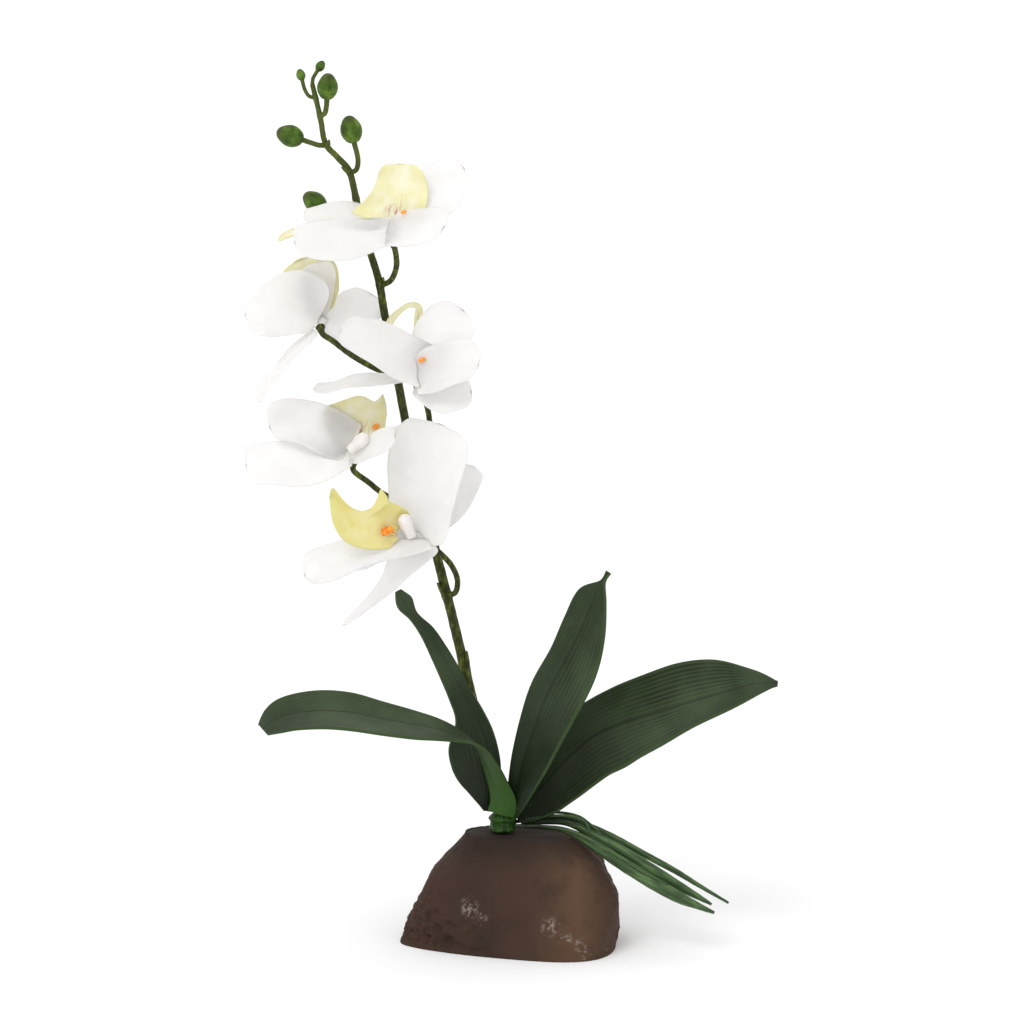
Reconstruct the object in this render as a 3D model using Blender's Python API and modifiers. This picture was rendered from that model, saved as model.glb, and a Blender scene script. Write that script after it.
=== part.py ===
# An orchid that grows on a rock: a leaning spike with five open flowers and six buds, four strap
# leaves, a short crown and a bundle of hanging roots. Metres, +Z up, +X right, +Y back.
# The origin lies on the rock's flat underside, below the crown.

import math

import bmesh
import bpy
from mathutils import Vector

MM = 0.001

# Driving sizes
CLEARANCE = 0.3 * MM  # between pieces that touch
ROCK_WIDTH = 99 * MM
ROCK_DEPTH = 66 * MM
ROCK_HEIGHT = 50 * MM
CROWN_RADIUS = 8 * MM
CROWN_HEIGHT = 8 * MM
SPIKE_RISE = 331 * MM
SPIKE_LEAN = 84 * MM
SPIKE_FOOT_RADIUS = 2.6 * MM
SPIKE_TIP_RADIUS = 1.1 * MM
STALK_RADIUS = 1.3 * MM
RECEPTACLE_RADIUS = 2.4 * MM
STALK_END = 5 * MM  # the stalk's last stretch, straight along the flower's axis
FLOWER_RADIUS = 50 * MM
PETAL_WIDTH = 41 * MM
SEPAL_WIDTH = 27 * MM
TEPAL_THICKNESS = 0.8 * MM
TEPAL_FOOT_WIDTH = 3 * MM
PETAL_LAYER = 2.4 * MM  # the petals' feet above the sepals' along the flower's axis
COLUMN_LENGTH = 9 * MM
COLUMN_RADIUS = 2.6 * MM
LIP_WIDTH = 24 * MM
LIP_THICKNESS = 0.8 * MM
BUD_LENGTH = 13 * MM
BUD_RADIUS = 5.2 * MM
BUD_TIP_RADIUS = 0.4 * MM
LEAF_WIDTH = 38 * MM
LEAF_THICKNESS = 1.3 * MM
LEAF_GAP = CLEARANCE + 0.3 * LEAF_THICKNESS  # from the crown to the middle of a leaf's tilted end
ROOT_RADIUS = 2.3 * MM

# How far pieces bend up across their width, as shares of their half width
LEAF_FOLD = 0.12
SEPAL_CUP = 0.02
PETAL_CUP = 0.12
LIP_CUP = 0.3
LIP_HORNS = 0.8

# Rock: its left and right sides as shares of its width and its half depth as shares of its depth,
# at even steps from the foot to the top
ROCK_LEFT = [-0.5, -0.46, -0.415, -0.375, -0.27, -0.19]
ROCK_RIGHT = [0.495, 0.51, 0.505, 0.475, 0.42, 0.31]
ROCK_HALF_DEPTH = [0.45, 0.44, 0.42, 0.37, 0.30, 0.22]
ROCK_SIDES = 32
ROCK_CUTS = 7

# Points along the round pieces
SPIKE_POINTS = 49
STALK_POINTS = 18
ROOT_POINTS = 22
BUD_STALK_POINTS = 7
BUD_POINTS = 8

CROWN_TOP = Vector((-2.5 * MM, 1 * MM, ROCK_HEIGHT + CLEARANCE + CROWN_HEIGHT))

# Spike centre line, as shares of its lean, millimetres back and shares of its rise above the crown
SPIKE_LINE = [
    (0.0, 3.5, 0.0),
    (0.01, 4, 0.012),
    (0.10, 8, 0.085),
    (0.19, 10, 0.175),
    (0.27, 10, 0.262),
    (0.335, 9, 0.33),
    (0.405, 7, 0.405),
    (0.49, 5, 0.50),
    (0.56, 4, 0.595),
    (0.63, 3, 0.69),
    (0.66, 3, 0.735),
    (0.72, 4, 0.785),
    (0.77, 4, 0.835),
    (0.81, 3, 0.88),
    (0.87, 1, 0.90),
    (0.935, -1, 0.92),
    (0.96, -3, 0.955),
    (1.0, -4, 1.0),
]

# Leaves: the foot's place right and back of the crown's middle as shares of the leaf width, the centre
# line in millimetres from the foot, widths as shares of the leaf width, and the way the upper face
# looks at even steps from the foot to the tip
LEAVES = {
    "leaf_left": {
        "foot": (-0.026, -0.171),
        "line": [(0, 0, 0), (-1.5, -3, 12.3), (-5, -5.5, 26.3), (-11, -8, 34.3), (-22, -10.5, 39.3),
                 (-41, -13.5, 43.8), (-72, -18.5, 50.3), (-106, -28.5, 45.3)],
        "widths": [0.3, 0.36, 0.4, 0.42, 0.5, 0.82, 0.92, 0.1],
        "faces": [(0.1, 1, 0), (0.9, 0.5, 0.3), (0.2, -0.3, 0.9), (0.1, -0.3, 0.95), (0, -0.5, 0.9)],
    },
    "leaf_back_left": {
        "foot": (-0.153, 0),
        "line": [(0, 0, 0), (-5.7, 0, 19.3), (-9.2, 0, 32.3), (-10.2, 0, 43.3), (-14.7, 0, 53.3),
                 (-20.2, 0, 67.3), (-26.7, -1, 81.3), (-34.2, -2, 91.3), (-41.2, -4, 102.3)],
        "widths": [0.16, 0.62, 0.68, 0.45, 0.34, 0.3, 0.32, 0.17, 0.1],
        "faces": [(0.2, -1, 0.2), (0.1, -1, 0.1), (0.1, -1, 0.1), (0.6, -0.8, 0.2), (0.7, -0.6, 0.4)],
    },
    "leaf_upright": {
        "foot": (0.105, -0.105),
        "line": [(0, 0, 0), (6, -3, 14.3), (13, -5, 30.3), (20, -6, 49.3), (27.5, -6, 67.3),
                 (34, -4, 84.3), (40, -3, 99.3), (45, -2, 111.3)],
        "widths": [0.16, 0.42, 0.56, 0.68, 0.72, 0.65, 0.4, 0.1],
        "faces": [(-0.6, -0.8, 0.2), (-0.7, -1, 0.3)],
    },
    "leaf_right": {
        "foot": (0.145, 0.079),
        "line": [(0, 0, 0), (10.5, 2, 10.3), (24.5, 2, 22.3), (44.5, 0, 37.3), (66.5, -6, 48.3),
                 (90.5, -15, 58.3), (116.5, -26, 64.3)],
        "widths": [0.16, 0.6, 0.85, 1.05, 1.0, 0.8, 0.1],
        "faces": [(-0.6, -0.6, 0.6), (-0.3, -0.8, 0.6), (-0.2, -0.8, 0.6)],
    },
}

# Roots: centre lines as shares of the rock's width right of the crown, millimetres back and shares of
# the rock's height above its top
ROOTS = {
    "root_front": [(0, 0, 0), (0.1, -1, 0.02), (0.2, -3, 0.0), (0.32, -8, -0.12), (0.5, -14, -0.33),
                   (0.7, -20, -0.52), (0.89, -25, -0.68)],
    "root_middle": [(0, 0, 0), (0.12, 0, 0.02), (0.22, -2, 0.01), (0.35, -7, -0.11), (0.53, -13, -0.3),
                    (0.72, -19, -0.47), (0.9, -24, -0.63)],
    "root_rear": [(0, 0, 0), (0.13, 1, 0.03), (0.25, -1, 0.0), (0.4, -6, -0.12), (0.58, -12, -0.3),
                  (0.76, -18, -0.46), (0.96, -23, -0.66)],
}

# Flowers: where the stalk leaves the spike, its way round in millimetres from there, and the pieces.
# Each tepal has its tip as shares of the flower's radius, the way its upper face looks, its bend
# and its width as a share of the widest of its kind.
FLOWERS = {
    "flower_1": {
        "on_spike": 0.577,
        "stalk": [(5, -4, 3), (7.7, -10, 10), (7.2, -15, 18), (6.5, -17, 23)],
        "axis": (0.1, 0.1, 1),
        "petals": {
            "petal_left": ((-0.70, 0.10, 0.19), (0, -0.6, 0.8), 0.09, 0.9),
            "petal_right": ((0.54, 0.42, 0.56), (-0.4, -0.8, 0.4), -0.06, 0.95),
        },
        "sepals": {
            "sepal_front": ((0.45, -0.60, -0.04), (-0.1, -0.6, 0.8), 0.06, 1.1),
            "sepal_left": ((-0.74, -0.28, -0.23), (0, -0.6, 0.8), -0.02, 1.05),
            "sepal_back": ((0.12, 0.86, 0.2), (0, -0.2, 1), 0.05, 1.0),
        },
        "lip": [(0, -4.5, 2), (-2, -6, 9), (-2, -7, 17), (0, -6, 23), (2, -3, 28)],
        "lip_faces": [(0.2, 1, 0), (0.1, 1, -0.3)],
        "lip_width": 1.3,
    },
    "flower_2": {
        "on_spike": 0.478,
        "stalk": [(-8, -6, 2.5), (-19, -9, 9), (-28, -10, 16), (-33, -9, 20)],
        "axis": (-0.25, 0.8, 0.5),
        "petals": {
            "petal_left": ((-0.50, -0.27, 0.26), (0.1, -0.8, 0.6), -0.04, 1.0),
            "petal_right": ((0.60, 0.42, 0.12), (-0.5, -0.9, 0), -0.04, 0.9),
        },
        "sepals": {
            "sepal_low": ((-0.42, -0.28, -0.63), (-0.75, 0.2, 0.5), -0.06, 0.9),
            "sepal_top": ((-0.1, 0.02, 0.54), (0.6, -0.8, 0.1), -0.05, 1.4),
            "sepal_back": ((-0.2, 0.8, -0.1), (0.3, 0, 0.95), 0.05, 1.0),
        },
        "lip": [(4, 9, 7), (8, 18, 15), (8, 22, 23), (2, 22, 30), (-7, 22, 28)],
        "lip_faces": [(-1, -0.1, 0.4), (-1, -0.2, 0), (-0.2, -0.2, -1)],
        "lip_width": 0.7,
    },
    "flower_3": {
        "on_spike": 0.407,
        "stalk": [(5, -5, 4), (8, -12, 14), (6.5, -18, 27), (3.5, -21, 36)],
        "axis": (0.4, -0.35, 0.9),
        "petals": {
            "petal_left": ((-0.78, -0.14, 0.26), (0.2, -0.6, 0.75), 0.03, 1.0),
            "petal_right": ((0.50, 0.0, 0.57), (-0.3, -0.95, 0.2), -0.04, 0.85),
        },
        "sepals": {
            "sepal_back": ((0.3, 0.8, 0.2), (-0.1, -0.2, 0.95), -0.04, 1.0),
            "sepal_right": ((0.52, -0.5, 0.0), (-0.1, -0.7, 0.7), 0.06, 1.2),
            "sepal_left": ((-0.87, 0.12, -0.14), (0.1, -0.3, 0.95), 0.03, 0.8),
        },
        "lip": [(0, 8, 5), (2, 13, 16), (1.5, 15, 26), (-4, 16, 32), (-11, 16, 28)],
        "lip_faces": [(-1, -0.2, 0.3), (-1, -0.3, 0), (-0.3, -0.3, -1)],
        "lip_width": 0.6,
    },
    "flower_4": {
        "on_spike": 0.365,
        "stalk": [(-7, -6, 2.5), (-17, -12, 7), (-25, -14, 13.5), (-31, -15, 21)],
        "axis": (0.1, 0.5, 0.85),
        "petals": {
            "petal_left": ((-0.74, 0.14, 0.35), (0.1, -0.55, 0.83), 0.06, 0.95),
            "petal_right": ((0.2, 0.8, 0.15), (-0.2, -0.2, 0.95), 0.05, 0.9),
        },
        "sepals": {
            "sepal_left": ((-0.80, -0.43, -0.26), (0.08, -0.48, 0.87), -0.05, 1.3),
            "sepal_front": ((0.44, -0.60, 0.16), (-0.5, -0.3, 0.9), 0.06, 0.9),
            "sepal_back": ((-0.52, 0.66, -0.04), (0.1, -0.1, 0.95), 0.0, 1.0),
        },
        "lip": [(5, 1, 5), (12, 1, 14), (16, 1, 23), (11, 1, 28), (1, 1, 26), (-8, 1, 16)],
        "lip_faces": [(-0.9, -0.3, 0.4), (-0.6, -0.6, -0.6), (0.1, -0.6, -0.9)],
        "lip_width": 0.75,
    },
    "flower_5": {
        "on_spike": 0.266,
        "stalk": [(4, -5, 2), (5, -10, 9), (2, -15, 17), (-4, -19, 24), (-10, -21, 28)],
        "axis": (-0.55, -0.55, 0.62),
        "petals": {
            "petal_top": ((0.28, -0.12, 0.96), (-0.6, -0.85, 0), -0.04, 1.0),
            "petal_left": ((-0.94, -0.3, -0.28), (0, -0.35, 0.92), 0, 1.0),
        },
        "sepals": {
            "sepal_right": ((0.52, 0.0, 0.62), (-0.6, -0.7, 0.1), 0.03, 1.0),
            "sepal_low": ((-0.6, -0.16, -0.74), (-0.8, -0.3, 0.6), 0.05, 0.85),
            "sepal_back": ((-0.5, 0.62, -0.38), (-0.2, 0.1, 0.95), 0.03, 1.0),
        },
        "lip": [(-5, -7.5, 1), (-12, -11, 6), (-21, -13, 12), (-29, -15, 17)],
        "lip_faces": [(0.3, -0.9, 0.5), (0.3, -0.9, 0.5)],
        "lip_width": 1.3,
    },
}

# Buds: where each stalk leaves the spike, its way in millimetres from there, and its size as a share
BUDS = {
    "bud_1": (1.0, [(0.4, 0, 3), (1.6, 0, 5), (2.6, 0, 6.5)], 0.42),
    "bud_2": (0.972, [(-2.6, -0.5, 1.5), (-3.8, -1, 5), (-4.3, -1, 9)], 0.42),
    "bud_3": (0.944, [(2.6, -0.5, 1.8), (3.4, -1, 6), (3.8, -1.5, 9.5)], 0.95),
    "bud_4": (0.876, [(-3, -1, 0.8), (-6, -2, 3), (-8.5, -3, 4.6)], 1.0),
    "bud_5": (0.765, [(3, -1, 1.5), (4.1, -1.5, 7), (2.8, -2, 15)], 1.0),
    "bud_6": (0.718, [(-3, 5, 1), (-9, 8, 0), (-14, 9, -1)], 0.95),
}

COLOURS = {
    "rock": (0.09, 0.055, 0.035),
    "crown": (0.10, 0.22, 0.03),
    "leaf": (0.035, 0.085, 0.03),
    "stem": (0.04, 0.07, 0.015),
    "bud": (0.06, 0.13, 0.02),
    "root": (0.10, 0.17, 0.05),
    "petal": (0.86, 0.86, 0.84),
    "lip": (0.85, 0.80, 0.35),
}


def material(name):
    found = bpy.data.materials.get(name)
    if found:
        return found
    made = bpy.data.materials.new(name)
    made.use_nodes = True
    shader = made.node_tree.nodes["Principled BSDF"]
    shader.inputs["Base Color"].default_value = (*COLOURS[name], 1)
    shader.inputs["Roughness"].default_value = 0.8 if name == "rock" else 0.5
    shader.inputs["Metallic"].default_value = 0
    return made


def add_object(name, data, material_name):
    made = bpy.data.objects.new(name, data)
    data.materials.append(material(material_name))
    orchid.objects.link(made)
    return made


def along(values, share):
    """The value at a share of the way through a list, on a smooth curve through all of them."""
    place = min(max(share, 0), 1) * (len(values) - 1)
    index = min(int(place), len(values) - 2)
    t = place - index
    before = values[max(index - 1, 0)]
    start = values[index]
    end = values[index + 1]
    after = values[min(index + 2, len(values) - 1)]
    linear = (end - before) * t
    square = (before * 2 - start * 5 + end * 4 - after) * t**2
    cube = (start * 3 - before - end * 3 + after) * t**3
    return (start * 2 + linear + square + cube) * 0.5


def millimetres(points, start=Vector()):
    return [start + Vector(point) * MM for point in points]


def sampled(line, count):
    return [along(line, index / (count - 1)) for index in range(count)]


def tube(name, points, radii, material_name):
    """A round piece along a line, with a radius at each of its points."""
    curve = bpy.data.curves.new(name, "CURVE")
    curve.dimensions = "3D"
    curve.bevel_depth = max(radii)
    curve.bevel_resolution = 2
    curve.use_fill_caps = True
    spline = curve.splines.new("POLY")
    spline.points.add(len(points) - 1)
    for spline_point, point, radius in zip(spline.points, points, radii):
        spline_point.co = (*point, 1)
        spline_point.radius = radius / curve.bevel_depth
    return add_object(name, curve, material_name)


def blade(name, line, widths, faces, thickness, cells, material_name, fold=0, cup=0, horns=0):
    """A leaf, petal or lip: a grid laid along a line, folded at its middle or cupped, then thickened."""
    shape = bmesh.new()
    bmesh.ops.create_grid(shape, x_segments=cells[0], y_segments=cells[1], size=1)
    for vert in shape.verts:
        across = vert.co.x
        share = (1 - math.cos(math.pi * (vert.co.y + 1) / 2)) / 2
        ahead = (along(line, min(share + 0.02, 1)) - along(line, max(share - 0.02, 0))).normalized()
        face = along(faces, share)
        face = (face - ahead * face.dot(ahead)).normalized()
        half = along(widths, share) / 2
        lift = half * (fold * abs(across) + cup * across**2)
        reach = half * horns * across**2 * share**3
        vert.co = along(line, share) + ahead.cross(face) * (half * across) + face * lift + ahead * reach
    mesh = bpy.data.meshes.new(name)
    shape.to_mesh(mesh)
    shape.free()
    mesh.shade_smooth()
    made = add_object(name, mesh, material_name)
    wall = made.modifiers.new("Wall", "SOLIDIFY")
    wall.thickness = thickness
    wall.offset = 0
    return made


def rock_point(turn, level):
    """A point of the rock's side, at an angle round it and a share of its height."""
    left = along(ROCK_LEFT, level)
    right = along(ROCK_RIGHT, level)
    swell = 1 + 0.02 * math.sin(5 * turn) * math.sin(9 * level)
    ways = [math.copysign(abs(way) ** 0.75, way) * swell for way in (math.cos(turn), math.sin(turn))]
    x = (left + right) / 2 + (right - left) / 2 * ways[0]
    slant = 0.45 * x * max(-ways[1], 0) * (1 - 0.7 * level)
    y = 0.1 * (level - 1) + along(ROCK_HALF_DEPTH, level) * ways[1] - slant
    sag = 0.08 * level * max(x, 0)
    return Vector((x * ROCK_WIDTH, y * ROCK_DEPTH, (level - sag) * ROCK_HEIGHT))


def build_rock():
    shape = bmesh.new()
    bmesh.ops.create_cone(shape, cap_ends=True, segments=ROCK_SIDES, radius1=1, radius2=1, depth=1)
    upright = [edge for edge in shape.edges if abs(edge.verts[0].co.z - edge.verts[1].co.z) > 0.5]
    bmesh.ops.subdivide_edges(shape, edges=upright, cuts=ROCK_CUTS)
    for vert in shape.verts:
        vert.co = rock_point(math.atan2(vert.co.y, vert.co.x), vert.co.z + 0.5)
    mesh = bpy.data.meshes.new("rock")
    shape.to_mesh(mesh)
    shape.free()
    mesh.shade_smooth()
    mesh.set_sharp_from_angle(angle=math.radians(50))
    add_object("rock", mesh, "rock")


def build_crown():
    foot = CROWN_TOP - Vector((0, 0, CROWN_HEIGHT))
    heights = [0, 0.2, 0.45, 0.6, 0.85, 1]
    girths = [0.9, 1, 1, 0.92, 0.95, 0.85]
    points = [foot.lerp(CROWN_TOP, height) for height in heights]
    tube("crown", points, [CROWN_RADIUS * girth for girth in girths], "crown")


def build_roots():
    spacing = 2 * ROOT_RADIUS + 2 * CLEARANCE
    start = CROWN_TOP + Vector((CROWN_RADIUS + CLEARANCE, 0, ROOT_RADIUS + CLEARANCE - CROWN_HEIGHT))
    for rank, (name, shares) in enumerate(ROOTS.items()):
        first = start + Vector((0, (rank - 1) * spacing, 0))
        line = [first + Vector((x * ROCK_WIDTH, y * MM, z * ROCK_HEIGHT)) for x, y, z in shares]
        tapers = [1 - 0.75 * (index / (ROOT_POINTS - 1)) ** 3 for index in range(ROOT_POINTS)]
        tube(name, sampled(line, ROOT_POINTS), [ROOT_RADIUS * taper for taper in tapers], "root")


def build_leaves():
    for name, leaf in LEAVES.items():
        across, back = leaf["foot"]
        foot = CROWN_TOP + Vector((across * LEAF_WIDTH, back * LEAF_WIDTH, LEAF_GAP))
        line = millimetres(leaf["line"], foot)
        widths = [share * LEAF_WIDTH for share in leaf["widths"]]
        faces = [Vector(face).normalized() for face in leaf["faces"]]
        blade(name, line, widths, faces, LEAF_THICKNESS, (4, 16), "leaf", fold=LEAF_FOLD)


def spike_line():
    """The spike's centre line, raised so that its tilted lower end clears the crown."""
    foot = CROWN_TOP + Vector((0, 0, CLEARANCE))
    line = [foot + Vector((-x * SPIKE_LEAN, y * MM, z * SPIKE_RISE)) for x, y, z in SPIKE_LINE]
    ahead = (line[1] - line[0]).normalized()
    dip = Vector((0, 0, SPIKE_FOOT_RADIUS * math.hypot(ahead.x, ahead.y)))
    return [point + dip for point in line]


def spike_radius(share):
    return SPIKE_FOOT_RADIUS + (SPIKE_TIP_RADIUS - SPIKE_FOOT_RADIUS) * share


def stalk_start(spike, share, way):
    """The spike's centre at a share of its line, and a stalk's first two points, out from its side."""
    centre = along(spike, share)
    ahead = (along(spike, min(share + 0.01, 1)) - along(spike, share - 0.01)).normalized()
    out = (way - ahead * way.dot(ahead)).normalized()
    start = spike_radius(share) + CLEARANCE
    return centre, [centre + out * start, centre + out * (start + way.length * 0.35)]


def build_spike(spike):
    radii = [spike_radius(index / (SPIKE_POINTS - 1)) for index in range(SPIKE_POINTS)]
    tube("flower_spike", sampled(spike, SPIKE_POINTS), radii, "stem")


def build_bud(name, spike, share, way, size):
    """A bud and its stalk, one piece: the stalk's line runs on and swells into the bud."""
    first = Vector(way[0]) * MM
    if share < 1:
        centre, foot = stalk_start(spike, share, first)
    else:
        centre = spike[-1]
        foot = [centre + (spike[-1] - spike[-2]).normalized() * CLEARANCE]
    line = foot + millimetres(way, centre)
    stalk = sampled(line, BUD_STALK_POINTS)
    ahead = (line[-1] - line[-2]).normalized()
    stalk_radius = SPIKE_TIP_RADIUS * (0.75 if size < 0.5 else 0.95)
    swelling = [index / BUD_POINTS for index in range(1, BUD_POINTS + 1)]
    points = stalk + [stalk[-1] + ahead * (BUD_LENGTH * size * part) for part in swelling]
    girths = [math.sin(math.pi * min(part, 0.985) ** 0.85) ** 0.7 for part in swelling]
    bud_radii = [max(BUD_RADIUS * size * girth, BUD_TIP_RADIUS) for girth in girths]
    radii = [stalk_radius] * BUD_STALK_POINTS + bud_radii
    tube(name, points, radii, "bud")


def build_tepal(name, middle, axis, tepal, width, cup):
    """A petal or sepal, on a gently bent line out of the flower's middle, clear of the stalk's end."""
    tip, face, bend, breadth = tepal
    reach = Vector(tip) * FLOWER_RADIUS
    out = (reach - axis * reach.dot(axis)).normalized()
    foot = middle + out * (RECEPTACLE_RADIUS + CLEARANCE + TEPAL_THICKNESS)
    upper = Vector(face).normalized()
    bends = [upper * (bend * FLOWER_RADIUS * math.sin(math.pi * part / 4)) for part in range(5)]
    line = [foot + reach * (part / 4) + bends[part] for part in range(5)]
    outline = [math.sin(math.pi * part / 8) ** 0.8 for part in range(9)]
    widths = [max(width * breadth * share, TEPAL_FOOT_WIDTH) for share in outline]
    blade(name, line, widths, [upper, upper], TEPAL_THICKNESS, (4, 8), "petal", cup=cup)


def build_lip(name, heart, flower):
    line = millimetres(flower["lip"], heart)
    faces = [Vector(face).normalized() for face in flower["lip_faces"]]
    widths = [share * flower["lip_width"] * LIP_WIDTH for share in (0.18, 0.65, 1, 0.85, 0.6)]
    blade(name, line, widths, faces, LIP_THICKNESS, (6, 8), "lip", cup=LIP_CUP, horns=LIP_HORNS)


def build_flower(name, spike, flower):
    centre, stalk_foot = stalk_start(spike, flower["on_spike"], Vector(flower["stalk"][0]) * MM)
    axis = Vector(flower["axis"]).normalized()
    way = millimetres(flower["stalk"], centre)
    heart = way[-1] + axis * (2 * MM)
    line = stalk_foot + way[:-1] + [heart - axis * STALK_END, heart - axis * MM]
    points = sampled(line, STALK_POINTS - 1) + [heart]
    swelling = [STALK_RADIUS * 1.1, STALK_RADIUS * 1.3, RECEPTACLE_RADIUS, RECEPTACLE_RADIUS]
    radii = [STALK_RADIUS] * (STALK_POINTS - len(swelling)) + swelling
    tube(name + "_stalk", points, radii, "stem")
    for piece, tepal in flower["sepals"].items():
        build_tepal(f"{name}_{piece}", heart, axis, tepal, SEPAL_WIDTH, SEPAL_CUP)
    for piece, tepal in flower["petals"].items():
        build_tepal(f"{name}_{piece}", heart + axis * PETAL_LAYER, axis, tepal, PETAL_WIDTH, PETAL_CUP)
    column_foot = heart + axis * CLEARANCE
    column_end = column_foot + axis * COLUMN_LENGTH
    girths = [0.8, 0.8, 0.85, 0.95, 1, 0.9, 0.5]
    points = [column_foot.lerp(column_end, index / (len(girths) - 1)) for index in range(len(girths))]
    tube(name + "_column", points, [COLUMN_RADIUS * girth for girth in girths], "petal")
    build_lip(name + "_lip", heart, flower)


for old in list(bpy.data.objects):
    bpy.data.objects.remove(old)

orchid = bpy.data.collections.new("potted_orchid")
bpy.context.scene.collection.children.link(orchid)

build_rock()
build_crown()
build_roots()
build_leaves()
main_line = spike_line()
build_spike(main_line)
for bud_name, (bud_share, bud_way, bud_size) in BUDS.items():
    build_bud(bud_name, main_line, bud_share, bud_way, bud_size)
for flower_name, flower_parts in FLOWERS.items():
    build_flower(flower_name, main_line, flower_parts)
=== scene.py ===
import math
from functools import partial

import bmesh
import bpy
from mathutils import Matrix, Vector, noise


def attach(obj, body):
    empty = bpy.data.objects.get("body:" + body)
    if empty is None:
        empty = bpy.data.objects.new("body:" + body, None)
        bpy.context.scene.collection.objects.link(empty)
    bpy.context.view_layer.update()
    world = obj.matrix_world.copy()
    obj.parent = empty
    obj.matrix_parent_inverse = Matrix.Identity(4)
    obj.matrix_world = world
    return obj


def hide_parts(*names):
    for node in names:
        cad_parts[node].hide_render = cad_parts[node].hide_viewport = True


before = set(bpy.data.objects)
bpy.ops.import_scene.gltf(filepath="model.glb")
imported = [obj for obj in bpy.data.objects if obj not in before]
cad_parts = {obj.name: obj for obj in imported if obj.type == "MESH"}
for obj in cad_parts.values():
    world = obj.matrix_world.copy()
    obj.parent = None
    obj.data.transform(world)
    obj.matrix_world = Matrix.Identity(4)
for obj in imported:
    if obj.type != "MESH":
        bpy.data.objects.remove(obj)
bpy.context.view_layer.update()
mm = 0.001


def fromHex(code):
    # sRGB hex to the linear colour that a shader takes
    parts = [int(code[place:place + 2], 16) / 255 for place in (1, 3, 5)]
    return (*[part / 12.92 if part <= 0.04045 else ((part + 0.055) / 1.055) ** 2.4 for part in parts], 1)


def outOf(source):
    # a node stands for its first output in use
    if isinstance(source, bpy.types.NodeSocket):
        return source
    return next(socket for socket in source.outputs if socket.enabled)


def addNode(tree, kind, settings=None, links=None):
    # one node: attributes, input values by name or number, colour stops, and what feeds its inputs
    node = tree.nodes.new("ShaderNode" + kind)
    for key, value in (settings or {}).items():
        if key == "stops":
            elements = node.color_ramp.elements
            while len(elements) < len(value):
                elements.new(0.5)
            for element, (place, colour) in zip(elements, value):
                element.position = place
                element.color = fromHex(colour) if isinstance(colour, str) else (colour, colour, colour, 1)
        elif isinstance(key, str) and hasattr(node, key):
            setattr(node, key, value)
        else:
            node.inputs[key].default_value = fromHex(value) if isinstance(value, str) else value
    for key, source in (links or {}).items():
        tree.links.new(outOf(source), node.inputs[key])
    return node


def newFinish(name, **sockets):
    # a Principled material, and addNode for its tree
    finish = bpy.data.materials.new(name)
    finish.use_nodes = True
    shader = finish.node_tree.nodes["Principled BSDF"]
    for socket, value in sockets.items():
        shader.inputs[socket.replace("_", " ")].default_value = value
    shader.inputs["Subsurface Radius"].default_value = (1, 1, 1)
    return finish, partial(addNode, finish.node_tree)


def giveSurface(finish, colour, height, strength, depth, roughness=None):
    # the colour, the relief (its depth in millimetres) and any uneven gloss reach the shader
    tree = finish.node_tree
    shader = tree.nodes["Principled BSDF"]
    tree.links.new(outOf(colour), shader.inputs["Base Color"])
    bump = addNode(tree, "Bump", {"Strength": strength, "Distance": depth * mm}, {"Height": height})
    tree.links.new(bump.outputs[0], shader.inputs["Normal"])
    if roughness:
        tree.links.new(outOf(roughness), shader.inputs["Roughness"])
    return finish


def along(values, share):
    # the value at a share of the way through a list, on a smooth curve through all of them
    place = min(max(share, 0), 1) * (len(values) - 1)
    index = min(int(place), len(values) - 2)
    t = place - index
    before, start, end = values[max(index - 1, 0)], values[index], values[index + 1]
    after = values[min(index + 2, len(values) - 1)]
    linear = (end - before) * t
    square = (before * 2 - start * 5 + end * 4 - after) * t**2
    cube = (start * 3 - before - end * 3 + after) * t**3
    return (start * 2 + linear + square + cube) * 0.5


def inMetres(points, start=Vector()):
    return [start + Vector(point) * mm for point in points]


def makePiece(name, shape, finish, nodes=(), wall=None):
    # shape becomes an object at the origin that rides on the plant's one body
    mesh = bpy.data.meshes.new(name)
    if not wall and shape.calc_volume(signed=True) < 0:
        bmesh.ops.reverse_faces(shape, faces=shape.faces)  # a closed shape faces outwards
    shape.to_mesh(mesh)
    shape.free()
    mesh.shade_smooth()
    mesh.materials.append(finish)
    piece = bpy.data.objects.new(name, mesh)
    bpy.context.scene.collection.objects.link(piece)
    if wall:
        skin = piece.modifiers.new("Skin", "SOLIDIFY")
        skin.thickness = wall
        skin.offset = 0
    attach(piece, "root")
    if nodes:
        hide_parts(*nodes)
    return piece


def sweepTube(shape, line, radiusAt, around, steps, side=Vector((0, 1, 0)), flat=1):
    # a tube laid along a line; radiusAt(share, turn) is in metres; both ends are closed
    shape.loops.layers.uv.verify()
    made = bmesh.ops.create_grid(shape, x_segments=around, y_segments=steps, size=1, calc_uvs=True)
    rings = []
    for ring in range(steps + 1):
        share = ring / steps
        ahead = (along(line, min(share + 0.01, 1)) - along(line, max(share - 0.01, 0))).normalized()
        side = (side - ahead * side.dot(ahead)).normalized()
        rings.append((along(line, share), side, ahead.cross(side)))
    for vert in made["verts"]:
        ring = round((vert.co.y + 1) / 2 * steps)
        turn = (vert.co.x + 1) * math.pi
        centre, one, other = rings[ring]
        reach = radiusAt(ring / steps, turn)
        vert.co = centre + (one * (math.cos(turn) * flat) + other * math.sin(turn)) * reach
    bmesh.ops.remove_doubles(shape, verts=made["verts"], dist=0.002 * mm)
    rims = [edge for edge in shape.edges if edge.is_boundary]
    if rims:
        bmesh.ops.holes_fill(shape, edges=rims, sides=0)
    bmesh.ops.recalc_face_normals(shape, faces=shape.faces)


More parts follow.
